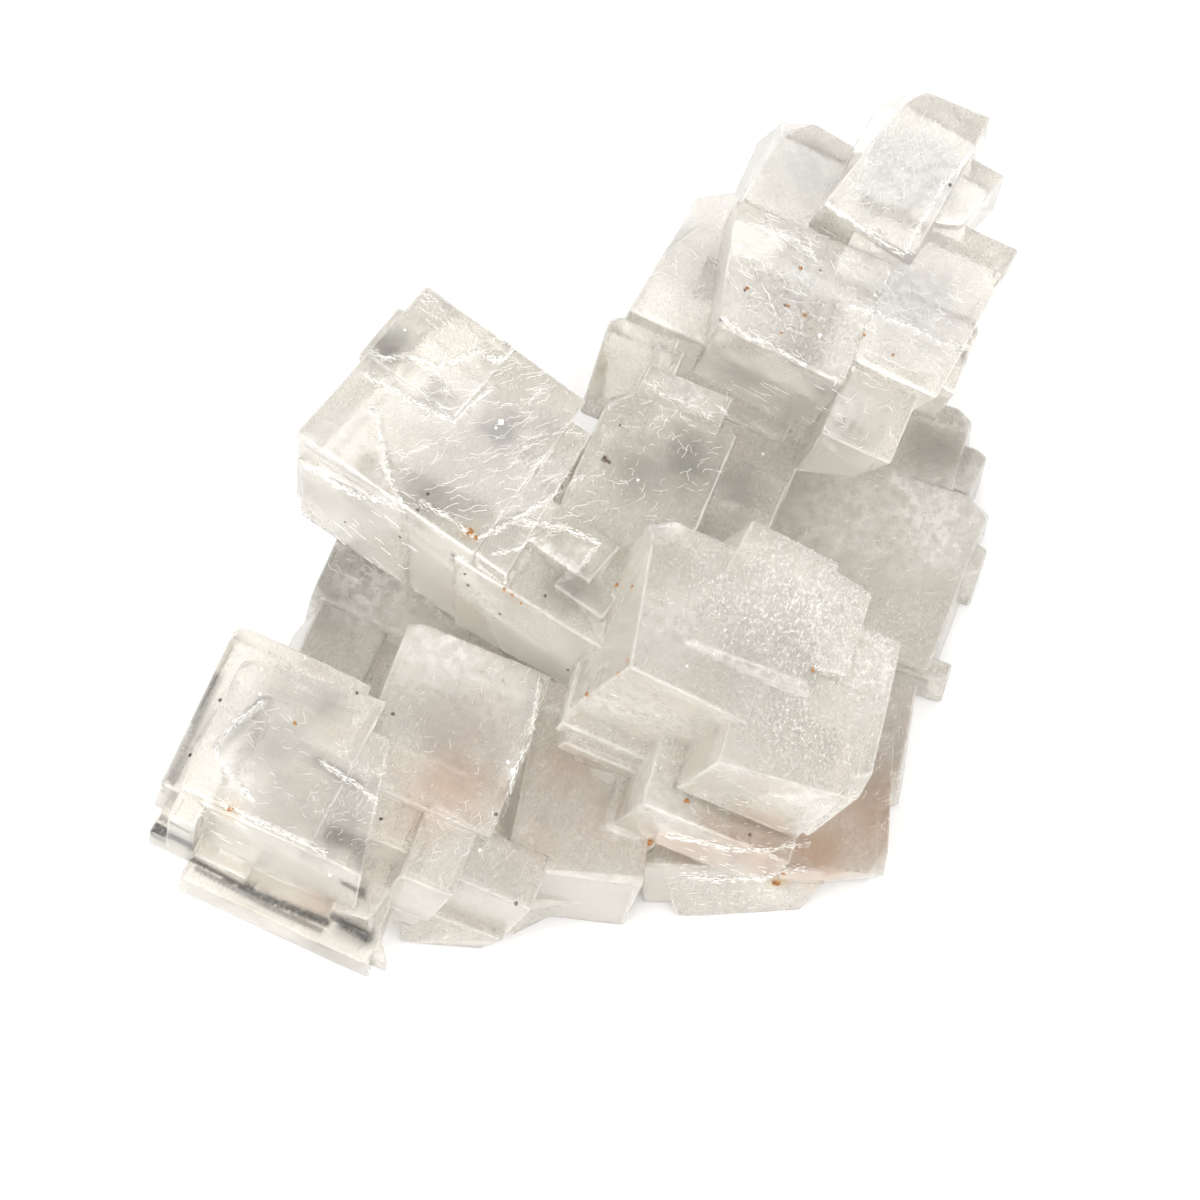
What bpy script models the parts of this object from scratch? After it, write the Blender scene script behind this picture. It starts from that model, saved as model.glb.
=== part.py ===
"""A cluster of intergrown halite cubes, one solid, standing on its broken base.

Units are metres and +Z is up. Everything below is stated in millimetres and scaled once, at the end.

The cubes are laid out in the plane of their broad faces: x to the right, y up the face, z out of it.
Cubes that share one lattice direction form a grain, and each cube is a block in its grain's own
directions: u to the right, v down the face, w out of it. The finished cluster is tipped so that the
broad faces look up, and it is cut flat where it broke from the bed that it grew on.
"""

import math
import random

import bmesh
import bpy
from mathutils import Matrix, Vector

MM = 0.001
TIP_DEG = 30.0  # the broad faces lean back this far when the cluster stands on its base
BASE_DEPTH = 24.0  # from the layout origin down to the broken base, along the finished +Z
CENTRE_X = -1.1  # the middle of the tipped cluster, which goes to the finished origin
CENTRE_Y = 11.38
ARRIS = 0.22  # width of the worn arris along every cube edge
CORNER_DRIFT = 0.10  # how far a cube corner strays from true
BED_SIZE = 240.0  # side of the box that cuts the base flat
SEED = 11

CRYSTAL_COLOUR = (0.86, 0.84, 0.80, 1.0)
CRYSTAL_ROUGHNESS = 0.22
CRYSTAL_TRANSMISSION = 0.8
HALITE_IOR = 1.544


class Grain:
    """Cubes that grew on one lattice. origin is the top left corner of its broad face, in mm."""

    def __init__(self, name, origin, turn, lean_right, lean_up):
        self.name = name
        in_plane = Matrix.Rotation(math.radians(-turn), 4, "Z")
        back = Matrix.Rotation(math.radians(-lean_up), 4, "X")
        aside = Matrix.Rotation(math.radians(lean_right), 4, "Y")
        self.matrix = Matrix.Translation(origin) @ aside @ back @ in_plane
        self.blocks = []

    def block(self, u, v, w, pull=None, chips=()):
        """A cube from u[0] to u[1] and so on.

        A corner is named by 0 or 1 along u, v and w. pull moves corners by so many mm along u, v, w,
        where growth ran out of square, and chips lists corners broken off with the size of each break.
        """
        self.blocks.append((u, v, w, pull or {}, chips))


def grown_cube(u, v, w, pull, chips, rng):
    """The bmesh of one block in its grain's directions, with strayed corners, chips and worn arrises."""
    bm = bmesh.new()
    bmesh.ops.create_cube(bm, size=1.0)
    for vert in bm.verts:
        i, j, k = (int(c > 0) for c in (vert.co.x, -vert.co.y, vert.co.z))
        du, dv, dw = pull.get((i, j, k), (0.0, 0.0, 0.0))
        drift = Vector([rng.uniform(-CORNER_DRIFT, CORNER_DRIFT) for _ in range(3)])
        vert.co = Vector((u[i] + du, -v[j] - dv, w[k] + dw)) + drift
    for (i, j, k), size in chips:
        toward = (2 * i - 1, 1 - 2 * j, 2 * k - 1)
        slope = Vector([t * rng.uniform(0.7, 1.3) for t in toward]).normalized()
        du, dv, dw = pull.get((i, j, k), (0.0, 0.0, 0.0))
        tip = Vector((u[i] + du, -v[j] - dv, w[k] + dw))
        bmesh.ops.bisect_plane(
            bm,
            geom=bm.verts[:] + bm.edges[:] + bm.faces[:],
            plane_co=tip - slope * size,
            plane_no=slope,
            clear_outer=True,
        )
        rim = [edge for edge in bm.edges if len(edge.link_faces) == 1]
        bmesh.ops.contextual_create(bm, geom=rim)
    bmesh.ops.bevel(
        bm,
        geom=bm.edges[:],
        offset=ARRIS,
        offset_type="OFFSET",
        segments=1,
        profile=0.5,
        affect="EDGES",
        material=-1,
    )
    bmesh.ops.triangulate(bm, faces=bm.faces[:])
    return bm


def left_grain():
    """The large clear block at the upper left, with the window sunk in its lower end."""
    g = Grain("left", (-17.3, 31.5, -6.0), 38, 1, 27)
    g.block(
        (-0.5, 21.0),
        (-0.3, 21.2),
        (-17.0, 0.0),
        {
            (1, 0, 1): (-0.4, 0.7, 0),
            (1, 0, 0): (-7.0, 3.0, 0),
            (0, 1, 1): (0.4, 0, 0),
            (0, 1, 0): (-0.4, 0, 0),
            (1, 1, 1): (1.4, 0, 0),
        },
        [((0, 1, 0), 1.8)],
    )
    g.block(
        (0.6, 26.2),
        (3.0, 20.7),
        (-17.5, -0.35),
        {(1, 0, 1): (-3.2, 0, 0), (1, 0, 0): (-8.0, 3.0, 0)},
    )
    g.block((-1.1, 6.0), (3.4, 10.4), (-10.0, -0.3), {(0, 0, 0): (1.5, 0, 0), (0, 1, 0): (1.5, 0, 0)})
    g.block((-0.2, 11.4), (0.1, 9.9), (-3.0, 0.25), {(1, 1, 1): (0, 0.3, 0)})
    g.block((0.3, 14.0), (14.0, 21.8), (-16.0, -4.2), {(1, 1, 1): (0, -0.5, 3.4), (1, 0, 1): (0, 0, 3.4)})
    g.block(
        (17.0, 26.0),
        (3.9, 16.0),
        (-13.0, -2.0),
        {(1, 0, 1): (-1.5, 0, 0), (1, 0, 0): (-2.0, 2.5, 0)},
    )
    g.block((22.0, 33.0), (11.2, 16.3), (-14.0, -0.4))
    g.block((30.0, 36.0), (9.0, 18.4), (-15.0, -1.3))
    g.block((20.0, 38.0), (11.0, 21.5), (-17.2, -2.5), {(1, 1, 1): (0, -1.0, 0), (1, 1, 0): (0, -2.0, 0)})
    return g


def shaded_grain():
    """Two blocks tucked under the left one."""
    g = Grain("shaded", (-27.2, 5.6, -15.0), 27, 6, 22)
    g.block((-0.6, 20.0), (-8.0, 5.8), (-18.0, 0.0), {(0, 1, 1): (0.8, 0, 0)}, [((0, 1, 1), 0.7)])
    g.block((-1.2, 8.9), (5.2, 15.0), (-14.0, -1.0), {(0, 0, 1): (2.6, 0, 0), (0, 1, 1): (2.9, 0, 0)})
    g.block((6.0, 26.0), (-2.0, 18.0), (-16.0, -3.0))
    return g


def middle_grain():
    """The grey block between the left and the right arm, and the small ones behind it."""
    g = Grain("middle", (4.0, 20.7, -2.0), 25, 8, 25)
    g.block((-2.8, 10.7), (0.0, 17.0), (-16.0, 0.0), {}, [((0, 0, 1), 1.6)])
    g.block((-0.5, 8.6), (-4.5, 1.0), (-16.0, -1.5), {(0, 0, 0): (2.0, 0, 0)})
    g.block((-1.0, 2.2), (-9.0, 0.0), (-17.0, -4.6), {(0, 0, 0): (2.0, 0, 0), (0, 1, 0): (2.0, 0, 0)})
    g.block(
        (-6.6, 1.0),
        (-12.0, 0.3),
        (-15.0, -8.0),
        {(0, 1, 1): (1.2, 0, 0), (0, 1, 0): (2.5, -4.5, 0), (1, 1, 0): (0, -4.5, 0)},
        [((0, 0, 1), 1.0)],
    )
    g.block((4.0, 17.0), (-1.5, 10.0), (-20.0, -7.5))
    g.block((-6.4, 1.0), (0.9, 9.0), (-15.5, -10.6))
    g.block((10.0, 20.0), (2.0, 16.0), (-24.0, -12.5))
    return g


def front_grain():
    """The big satin block at the front, with its raised plate, its ledges and the bar under it."""
    g = Grain("front", (5.5, 8.6, 13.0), 24.5, 24, 21)
    g.block(
        (0.0, 15.3),
        (0.0, 16.5),
        (-17.2, 0.0),
        {
            (0, 1, 1): (1.7, 0.5, 0),
            (1, 1, 1): (-0.6, 1.2, 0),
            (0, 0, 0): (1.0, 1.5, 0),
            (0, 1, 0): (1.7, -1.7, 0),
            (1, 1, 0): (1.0, -1.4, 0),
        },
        [((0, 0, 1), 1.5)],
    )
    g.block(
        (8.0, 19.5),
        (-2.9, 12.0),
        (-11.0, 0.5),
        {(0, 0, 1): (1.7, -0.6, 0), (0, 1, 1): (-1.6, 0, -0.25), (1, 1, 1): (0, -0.8, 0)},
    )
    g.block(
        (15.0, 23.4),
        (-2.7, 10.4),
        (-11.5, 0.42),
        {(1, 0, 1): (0.1, 1.5, 0), (1, 1, 1): (0, -2.0, 0)},
    )
    g.block((12.0, 20.3), (9.0, 12.6), (-3.0, 0.2), {(1, 1, 1): (0, -0.6, 0)})
    g.block((14.0, 28.1), (1.8, 19.5), (-13.0, -0.7), {(1, 1, 1): (0.7, -1.0, 0)}, [((1, 1, 1), 1.2)])
    g.block(
        (13.2, 26.6),
        (9.0, 20.6),
        (-12.6, -0.5),
        {(0, 1, 1): (-0.3, 2.0, 0), (1, 0, 1): (1.0, 0, 0)},
    )
    g.block((1.3, 12.0), (2.0, 16.9), (-18.6, -16.6))
    g.block((2.5, 12.5), (2.0, 17.8), (-20.4, -18.4))
    g.block((4.8, 13.0), (2.0, 17.4), (-22.2, -20.2))
    g.block(
        (10.5, 26.9),
        (10.0, 23.4),
        (-21.6, -13.0),
        {(1, 1, 1): (0, -0.2, 0), (0, 1, 0): (0, -0.8, 0), (1, 1, 0): (0, -0.6, 0)},
    )
    g.block((9.8, 15.4), (15.0, 23.2), (-22.8, -21.2))
    g.block((5.0, 22.0), (1.0, 14.0), (-34.0, -12.0))
    g.block((24.5, 28.5), (3.4, 7.8), (-9.0, -1.6), {}, [((1, 0, 1), 0.5)])
    return g


def lower_left_grain():
    """The clear stepped block at the lower left: a thick slab over thin plates."""
    g = Grain("lower_left", (-35.0, -5.4, 8.0), 27, 6, 22)
    g.block(
        (0.0, 14.6),
        (0.0, 14.8),
        (-9.0, 0.0),
        {(1, 0, 1): (0, -1.9, 0), (0, 1, 1): (0.4, 0.6, 0)},
        [((0, 0, 1), 1.0)],
    )
    g.block((2.6, 20.2), (1.4, 15.7), (-12.4, -0.25), {(1, 0, 1): (-3.6, 0, 0), (1, 0, 0): (-3.6, 0, 0)})
    g.block((3.0, 17.0), (0.0, 14.0), (-24.0, -12.0))
    g.block((0.4, 3.4), (6.0, 18.0), (-11.0, -1.4))
    g.block((-2.8, 12.0), (-4.5, 14.2), (-12.0, -4.6), {(0, 1, 1): (0.8, 0, 0)}, [((0, 0, 1), 0.6)])
    g.block((-1.7, 9.0), (3.0, 17.4), (-13.6, -10.8), {(0, 0, 1): (0.5, 0, 0)})
    g.block(
        (2.8, 22.2),
        (6.0, 19.4),
        (-17.4, -13.4),
        {(1, 1, 1): (1.2, 0.0, 0), (1, 1, 0): (1.6, -0.2, 0)},
        [((1, 1, 1), 0.4)],
    )
    g.block((20.0, 25.2), (15.9, 18.0), (-16.6, -14.0), {(1, 0, 1): (-1.6, 0, 0), (1, 0, 0): (-1.6, 0, 0)})
    g.block((18.0, 22.9), (6.0, 16.8), (-16.0, -10.4), {(1, 1, 1): (-1.0, -1.0, 0)})
    return g


def lower_middle_grain():
    """The cloudy rose-tinged block beside it, with its stepped lower end."""
    g = Grain("lower_middle", (-18.7, -1.7, 3.0), 24, 14, 16)
    g.block((0.0, 15.3), (0.0, 18.0), (-14.0, 0.0), {(0, 0, 0): (1.0, 0.5, 0)}, [((0, 0, 1), 0.9)])
    g.block((3.0, 12.0), (10.0, 22.5), (-14.5, -1.2))
    g.block((8.2, 13.9), (12.0, 25.1), (-12.4, -0.3))
    g.block((13.0, 21.8), (16.8, 22.8), (-14.0, -1.8))
    g.block((13.2, 15.8), (5.0, 12.4), (-9.0, -0.9))
    g.block(
        (9.0, 21.4),
        (12.0, 24.3),
        (-19.0, -12.0),
        {(0, 1, 0): (3.6, 1.6, 0), (1, 1, 0): (-1.2, -0.6, 0), (1, 1, 1): (0, -0.6, 0)},
    )
    g.block((7.0, 13.0), (14.0, 25.2), (-15.0, -11.0))
    return g


def lower_right_grain():
    """The block behind it, half hidden under the front one."""
    g = Grain("lower_right", (-4.7, -8.0, -2.0), 8, 9, 20)
    g.block((-3.0, 11.0), (0.0, 20.3), (-14.0, 0.0), {(0, 0, 1): (2.0, 0, 0)}, [((1, 1, 1), 0.5)])
    g.block(
        (-0.4, 8.4),
        (10.0, 21.6),
        (-13.0, -8.4),
        {(0, 1, 0): (0.0, 1.6, 0), (1, 1, 0): (-1.2, -3.8, 0), (1, 1, 1): (0, -1.6, 0)},
    )
    return g


def tower_grain():
    """The tall stepped block at the upper right."""
    g = Grain("tower", (14.7, 41.7, -10.0), 26, 12, 18)
    g.block(
        (0.0, 17.0),
        (0.5, 15.0),
        (-17.0, 0.0),
        {(0, 1, 1): (3.0, 0, 0), (0, 1, 0): (3.2, -1.2, 0), (0, 0, 1): (-0.4, 0.8, 0)},
    )
    g.block(
        (12.0, 28.4),
        (-7.1, 12.0),
        (-12.0, -0.25),
        {(1, 1, 1): (-2.0, 0, 0), (1, 1, 0): (-4.6, 0, 0)},
    )
    g.block((17.0, 24.8), (8.0, 20.0), (-14.0, -2.0), {(1, 1, 0): (-2.0, -2.0, 0)})
    g.block((20.0, 28.3), (-1.0, 8.0), (-14.0, -6.0), {}, [((1, 0, 1), 1.0)])
    g.block(
        (0.0, 9.0),
        (-12.8, 0.0),
        (-15.0, -5.0),
        {(0, 0, 1): (1.9, -0.3, 0), (1, 0, 1): (0, 0.6, 0), (0, 1, 1): (0.3, 0, 0)},
        [((0, 0, 1), 1.7)],
    )
    g.block(
        (-5.4, 6.0),
        (-4.2, 14.0),
        (-17.0, -8.0),
        {(0, 0, 1): (2.2, -0.6, 0), (0, 0, 0): (2.0, 0, 0)},
        [((0, 0, 1), 3.7)],
    )
    g.block((9.8, 17.4), (10.0, 26.0), (-30.0, -16.5))
    g.block((0.0, 15.0), (2.0, 17.0), (-34.0, -15.5))
    return g


def crest_grain():
    """The block that caps the tower."""
    g = Grain("crest", (25.5, 46.4, -12.5), 31, 5, 21)
    g.block(
        (-0.7, 11.5),
        (-9.6, 7.5),
        (-9.0, 0.0),
        {(0, 0, 1): (3.4, 0.1, 0), (1, 0, 1): (-0.6, -0.8, 0), (0, 1, 1): (1.6, -0.2, 0)},
        [((0, 0, 1), 0.9)],
    )
    g.block(
        (8.0, 15.2),
        (-6.2, 4.0),
        (-10.0, -1.5),
        {(1, 1, 1): (-1.4, -3.0, 0), (1, 1, 0): (-1.6, -3.0, 0)},
    )
    return g


def base_grain():
    """The rose-tinted bed at the lower right that carries the front block."""
    g = Grain("base", (4.8, -24.0, -1.0), 4, 8, 24)
    g.block(
        (-0.6, 24.6),
        (-14.0, 2.8),
        (-12.0, 0.0),
        {
            (0, 1, 0): (1.8, -0.4, 0),
            (1, 1, 0): (-0.6, -4.6, 0),
            (1, 1, 1): (-0.3, -0.5, 0),
            (1, 0, 1): (0.8, 0, 0),
        },
        [((1, 1, 1), 1.2)],
    )
    g.block(
        (2.0, 18.5),
        (-6.0, 3.2),
        (-12.0, -2.5),
        {
            (0, 1, 0): (2.8, 1.0, 0),
            (1, 1, 0): (-2.4, 0.1, 0),
            (1, 1, 1): (0, -0.8, 0),
            (0, 1, 1): (0, -0.6, 0),
        },
    )
    g.block((14.0, 27.6), (-19.0, -9.0), (-13.0, -0.4), {(1, 1, 1): (-1.8, 0, 0)})
    return g


def far_grain():
    """The low blocks at the far right."""
    g = Grain("far", (31.5, 19.9, -29.0), 20, 4, 24)
    g.block(
        (-9.0, 12.4),
        (7.2, 27.6),
        (-12.0, 0.0),
        {(1, 0, 1): (-0.3, -0.5, 0), (1, 1, 1): (-1.0, 0, 0)},
        [((1, 0, 1), 1.6)],
    )
    g.block((-6.0, 8.0), (-2.6, 9.0), (-10.0, -0.4), {(1, 0, 1): (-0.8, 0, 0)}, [((1, 0, 1), 1.0)])
    g.block(
        (0.0, 10.1),
        (1.0, 6.4),
        (-9.0, -0.9),
        {(1, 1, 1): (-0.6, 0, 0)},
        [((1, 0, 1), 0.7), ((1, 1, 1), 0.6)],
    )
    g.block((8.0, 13.2), (11.4, 16.0), (-9.0, -0.8), {}, [((1, 0, 1), 0.6), ((1, 1, 1), 0.9)])
    g.block((8.0, 13.6), (25.5, 28.0), (-7.0, -0.8))
    return g


def hidden_grain():
    """The blocks underneath that carry the left block, the middle and the tower down to the bed."""
    g = Grain("hidden", (0.0, 0.0, -20.0), 25, 6, 24)
    g.block((-6.0, 14.0), (-14.0, 6.0), (-26.0, 2.0))
    g.block((8.0, 26.0), (-26.0, -8.0), (-34.0, -4.0))
    return g


GRAINS = (
    left_grain,
    shaded_grain,
    middle_grain,
    front_grain,
    lower_left_grain,
    lower_middle_grain,
    lower_right_grain,
    tower_grain,
    crest_grain,
    base_grain,
    far_grain,
    hidden_grain,
)


def standing_matrix():
    """From the layout to the finished part, in metres, with the origin under its middle."""
    tip = Matrix.Rotation(math.radians(TIP_DEG), 4, "X")
    lift = Matrix.Translation((-CENTRE_X, -CENTRE_Y, BASE_DEPTH))
    return Matrix.Scale(MM, 4) @ lift @ tip


def new_object(name, bm, collection):
    mesh = bpy.data.meshes.new(name)
    bm.to_mesh(mesh)
    bm.free()
    obj = bpy.data.objects.new(name, mesh)
    collection.objects.link(obj)
    return obj


def bed_box():
    """A box under the base plane, wide enough to take off everything below it."""
    bm = bmesh.new()
    bmesh.ops.create_cube(bm, size=BED_SIZE * MM)
    bmesh.ops.translate(bm, verts=bm.verts[:], vec=(0.0, 0.0, -BED_SIZE * MM / 2))
    return bm


def halite_material():
    material = bpy.data.materials.new("halite")
    material.use_nodes = True
    shader = material.node_tree.nodes["Principled BSDF"]
    shader.inputs["Base Color"].default_value = CRYSTAL_COLOUR
    shader.inputs["Roughness"].default_value = CRYSTAL_ROUGHNESS
    shader.inputs["Metallic"].default_value = 0.0
    shader.inputs["IOR"].default_value = HALITE_IOR
    shader.inputs["Transmission Weight"].default_value = CRYSTAL_TRANSMISSION
    return material


def build():
    for obj in list(bpy.data.objects):
        bpy.data.objects.remove(obj)
    rng = random.Random(SEED)
    scene = bpy.context.scene.collection
    helpers = bpy.data.collections.new("cubes")
    scene.children.link(helpers)
    stand = standing_matrix()
    first = None
    for make_grain in GRAINS:
        grain = make_grain()
        for number, (u, v, w, pull, chips) in enumerate(grain.blocks):
            bm = grown_cube(u, v, w, pull, chips, rng)
            bm.transform(stand @ grain.matrix)
            if first is None:
                first = new_object("halite_cluster", bm, scene)
                continue
            cube = new_object(f"{grain.name}_{number}", bm, helpers)
            cube.hide_render = True
            cube.display_type = "WIRE"
    join = first.modifiers.new("grown together", "BOOLEAN")
    join.operation = "UNION"
    join.operand_type = "COLLECTION"
    join.collection = helpers
    join.solver = "EXACT"
    bed = new_object("bed", bed_box(), scene)
    bed.hide_render = True
    bed.display_type = "WIRE"
    cut = first.modifiers.new("broken from the bed", "BOOLEAN")
    cut.operation = "DIFFERENCE"
    cut.object = bed
    cut.solver = "EXACT"
    first.data.materials.append(halite_material())


build()
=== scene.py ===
"""A cluster of intergrown halite cubes, clear in places and clouded in others, on a pale table.

The solid cluster comes from the frame. Here its faces get their growth ledges, etch lines, clouds
and stains, and painted shade and light. Places on it are given as (x, y), in mm right of and above
the middle of the view.
"""

import math
import random

import bmesh
import bpy
from mathutils import Matrix, Vector, noise
from mathutils.bvhtree import BVHTree
from mathutils.kdtree import KDTree


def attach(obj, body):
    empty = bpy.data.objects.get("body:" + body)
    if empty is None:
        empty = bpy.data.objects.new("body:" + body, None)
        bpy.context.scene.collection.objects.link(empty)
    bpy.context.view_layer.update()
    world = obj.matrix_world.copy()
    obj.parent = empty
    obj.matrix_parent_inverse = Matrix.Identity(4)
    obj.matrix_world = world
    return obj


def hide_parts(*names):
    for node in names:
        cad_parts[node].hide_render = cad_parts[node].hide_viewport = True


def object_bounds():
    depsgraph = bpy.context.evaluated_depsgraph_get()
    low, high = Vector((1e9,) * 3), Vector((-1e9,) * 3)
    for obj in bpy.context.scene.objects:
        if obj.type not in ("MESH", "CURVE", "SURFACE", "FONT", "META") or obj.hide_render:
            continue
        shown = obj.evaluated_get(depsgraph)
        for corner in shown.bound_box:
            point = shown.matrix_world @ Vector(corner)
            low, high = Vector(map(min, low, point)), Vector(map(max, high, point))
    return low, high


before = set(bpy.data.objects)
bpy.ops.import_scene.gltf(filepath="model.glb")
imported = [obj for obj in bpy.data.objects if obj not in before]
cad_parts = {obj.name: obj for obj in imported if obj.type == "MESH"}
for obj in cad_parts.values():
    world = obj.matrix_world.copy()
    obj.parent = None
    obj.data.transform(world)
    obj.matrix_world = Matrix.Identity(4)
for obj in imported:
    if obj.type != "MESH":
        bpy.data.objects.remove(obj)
cad_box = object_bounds()

# ---------------------------------------------------------------------------------------------
# The view. The cluster leans back 30 degrees as it stands, so the camera leans as far and looks
# square at the broad faces. Its distance and its width of view set where each (x, y) place falls.
# ---------------------------------------------------------------------------------------------

MM = 0.001
TIP_DEG = 30.0
AIM = Vector((1.1, -11.38, 24.0)) * MM  # the middle of the view
CAMERA_REACH = 0.6  # metres from the camera to it
VIEW_WIDTH = 0.12  # metres seen at that distance
SENSOR = 36.0  # mm

broad_face = Matrix.Translation(AIM) @ Matrix.Rotation(math.radians(TIP_DEG), 4, "X")
camera_data = bpy.data.cameras.new("camera")
camera_data.sensor_width = SENSOR
camera_data.lens = SENSOR * CAMERA_REACH / VIEW_WIDTH
camera = bpy.data.objects.new("camera", camera_data)
camera.matrix_world = broad_face @ Matrix.Translation((0.0, 0.0, CAMERA_REACH))
bpy.context.scene.collection.objects.link(camera)
bpy.context.scene.camera = camera
eye = camera.matrix_world.translation

# ---------------------------------------------------------------------------------------------
# The crystal. Rock salt that grew as cubes into one another and was broken off its bed. The last
# layers of salt stopped in ragged ledges, damp air has etched the faces, and clay tinted it rose.
# ---------------------------------------------------------------------------------------------

WELD = 0.002 * MM
FLAT_DEG = 0.4
LATTICE_TURN_DEG = 27.0  # how far the cubes' edges are turned from upright in the broad faces
CUT_SPACING = 1.0 * MM  # from one cut along the lattice to the next
CUT_SNAP = 0.01 * WELD
LEDGE_CUT = 0.45 * MM  # longest mesh edge left beside a growth ledge
CUT_ROUNDS = 3
SHARP_DEG = 28.0
ARRIS_WIDTH = 1.1 * MM  # a face narrower than this is a worn arris
FOOT_CLEAR = 0.3 * MM  # the broken base stays flat up to here

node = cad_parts["halite_cluster"]
crystal_bm = bmesh.new()
crystal_bm.from_mesh(node.data)
bmesh.ops.remove_doubles(crystal_bm, verts=crystal_bm.verts[:], dist=WELD)
bare_faces = BVHTree.FromBMesh(crystal_bm)
bmesh.ops.dissolve_limit(
    crystal_bm,
    angle_limit=math.radians(FLAT_DEG),
    verts=crystal_bm.verts[:],
    edges=crystal_bm.edges[:],
)

# The worn arrises are the narrowest faces. The material frosts the faces marked 1 here, partly as
# wear and partly as a painted highlight along the edges.
arris = crystal_bm.faces.layers.float.new("arris")
for face in crystal_bm.faces:
    face[arris] = float(2.0 * face.calc_area() / face.calc_perimeter() < ARRIS_WIDTH / 2.0)

# The faces are cut along the lattice, so that swells and ledges have edges of their own to follow.
lattice = (
    Matrix.Rotation(math.radians(TIP_DEG), 3, "X")
    @ Matrix.Rotation(math.radians(-LATTICE_TURN_DEG), 3, "Z")
)
for axis in range(3):
    along = lattice.col[axis].copy()
    places = [v.co.dot(along) for v in crystal_bm.verts]
    cuts = int((max(places) - min(places)) / CUT_SPACING)
    for i in range(1, cuts):
        whole = crystal_bm.verts[:] + crystal_bm.edges[:] + crystal_bm.faces[:]
        bmesh.ops.bisect_plane(
            crystal_bm,
            geom=whole,
            dist=CUT_SNAP,
            plane_co=along * (min(places) + i * CUT_SPACING),
            plane_no=along,
        )


def seen(tree, x, y):
    """The point and the normal of the crystal at this place in the view, or (None, None)."""
    aimed = broad_face @ Vector((x * MM, y * MM, 0.0))
    hit, normal, _, _ = tree.ray_cast(eye, (aimed - eye).normalized())
    return hit, normal


# Growth ledges: (height, half width, places along it), in mm.
UPPER_LEFT_LEDGES = (
    (0.20, 0.42, (-23.1, 24.9), (-21.5, 24.1), (-19.8, 24.4), (-18.0, 23.9), (-16.5, 23.5),
     (-14.8, 23.7), (-13.4, 24.3), (-12.2, 24.9), (-10.3, 23.8), (-8.6, 25.1)),
    (0.18, 0.40, (-23.9, 22.7), (-21.5, 21.5), (-19.1, 20.0), (-16.7, 18.8), (-14.6, 17.7),
     (-13.4, 19.1), (-12.0, 20.3), (-10.8, 21.0)),
    (0.24, 0.50, (-23.2, 19.0), (-22.2, 18.4), (-22.0, 16.5), (-21.6, 14.4), (-21.1, 12.5),
     (-20.5, 11.0), (-19.9, 9.8), (-19.3, 9.1)),
    (0.15, 0.36, (-18.1, 9.9), (-16.2, 8.7), (-14.6, 8.0), (-13.4, 6.8), (-12.2, 6.2),
     (-9.6, 7.4), (-7.2, 8.9), (-4.8, 10.3), (-3.1, 11.5), (-1.5, 12.5)),
    (0.14, 0.34, (-10.8, 4.6), (-8.1, 5.1), (-6.5, 6.3)),
    (0.20, 0.50, (-30.0, 13.7), (-26.7, 11.8), (-24.6, 10.5), (-22.7, 10.2), (-20.5, 9.5)),
    (0.10, 0.34, (-7.9, 8.0), (-3.4, 7.2), (-0.1, 5.6), (-1.9, 3.4)),
)
TOWER_LEDGES = (
    (0.18, 0.45, (22.7, 39.6), (24.5, 38.3), (26.4, 37.0), (28.4, 35.6), (30.4, 34.4),
     (32.0, 37.5), (34.3, 41.5), (36.0, 43.4), (37.5, 44.9)),
    (0.13, 0.36, (15.9, 37.3), (17.6, 36.6), (19.6, 36.0), (21.7, 34.1)),
    (0.12, 0.34, (24.8, 29.6), (27.9, 28.4), (31.2, 27.2), (34.0, 25.7), (37.0, 25.4)),
    (0.13, 0.36, (12.2, 28.3), (14.6, 26.4), (17.0, 25.6), (20.6, 23.4)),
    (0.12, 0.34, (4.0, 22.3), (6.1, 20.5), (8.8, 19.7), (11.2, 18.0)),
)
FRONT_LEDGES = (
    (0.20, 0.42, (19.7, 6.0), (20.0, 4.0), (21.5, 1.0), (22.5, -1.0), (24.4, -2.4)),
    (0.15, 0.36, (8.7, -4.0), (11.2, -5.2), (14.5, -6.7), (17.6, -7.4), (20.8, -8.5)),
    (0.13, 0.34, (-3.2, -10.9), (0.2, -8.7), (2.9, -6.7), (6.0, -8.0), (10.4, -9.8), (14.7, -12.5)),
    (0.10, 0.30, (24.6, -9.2), (26.9, -6.0), (27.7, -2.9)),
    (0.12, 0.34, (9.8, -16.7), (13.0, -18.2), (17.1, -20.4), (20.8, -22.8)),
)
LOWER_LEDGES = (
    (0.18, 0.45, (-6.0, -8.2), (-6.6, -11.4), (-7.0, -14.0), (-8.5, -17.0), (-9.2, -20.0),
     (-9.8, -22.5)),
    (0.16, 0.42, (-33.5, -10.0), (-36.6, -12.4), (-38.5, -15.0), (-36.8, -17.9), (-34.8, -20.0)),
    (0.12, 0.36, (-28.0, -16.2), (-26.0, -17.5), (-24.0, -18.7), (-22.4, -20.1)),
    (0.11, 0.34, (-38.2, -20.2), (-35.0, -21.8), (-31.6, -23.4), (-27.4, -25.4)),
    (0.10, 0.30, (6.5, -23.6), (9.8, -24.2), (13.4, -24.9), (17.0, -25.0), (21.0, -24.4)),
    (0.10, 0.30, (8.0, -27.4), (11.5, -28.0), (15.8, -27.9), (20.4, -26.8)),
)
LEDGE_STEP = 0.25  # mm between the points of a ledge
LEDGE_WANDER = 0.14  # mm that a ledge strays to either side
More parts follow.
